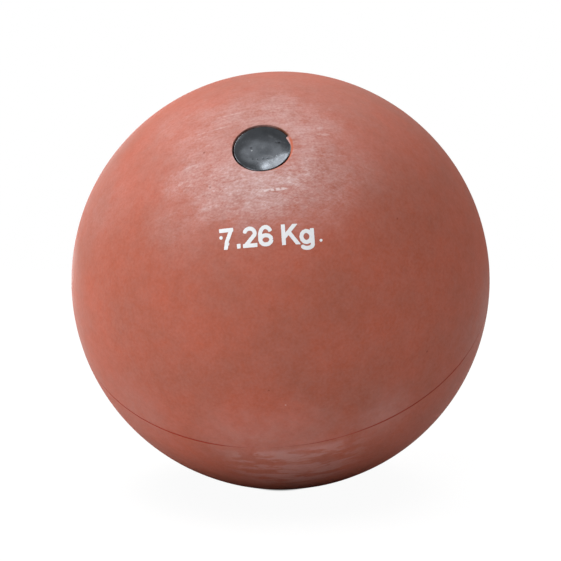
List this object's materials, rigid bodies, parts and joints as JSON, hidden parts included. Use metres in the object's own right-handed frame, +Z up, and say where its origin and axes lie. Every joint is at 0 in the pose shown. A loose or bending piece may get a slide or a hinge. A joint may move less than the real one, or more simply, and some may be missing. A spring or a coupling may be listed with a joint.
{
  "type": "shot put ball",
  "caption": "Weighted throwing ball: rubber half covers bonded round a drilled iron core, with a flush metal plug over the trimming bore.",
  "frame": {"origin": "centre of the ball", "axes": "+Z up as the ball lies at rest, with its plug turned up and towards -Y"},
  "size_m": [0.1398, 0.1398, 0.1398],
  "materials": {
    "rubber": "terracotta moulded rubber, satin, with a pale bloom",
    "cast_iron": "plain casting, faced and drilled under the plug",
    "lead": "dull poured lead",
    "plug_metal": "dark bluish metal, semi-gloss, lightly marked",
    "white_marking": "thin matt white printed ink"
  },
  "bodies": {
    "root": {"upper_cover": "rubber", "lower_cover": "rubber", "core": "cast_iron", "trim_weight": "lead", "plug": "plug_metal"}
  },
  "joints": []
}
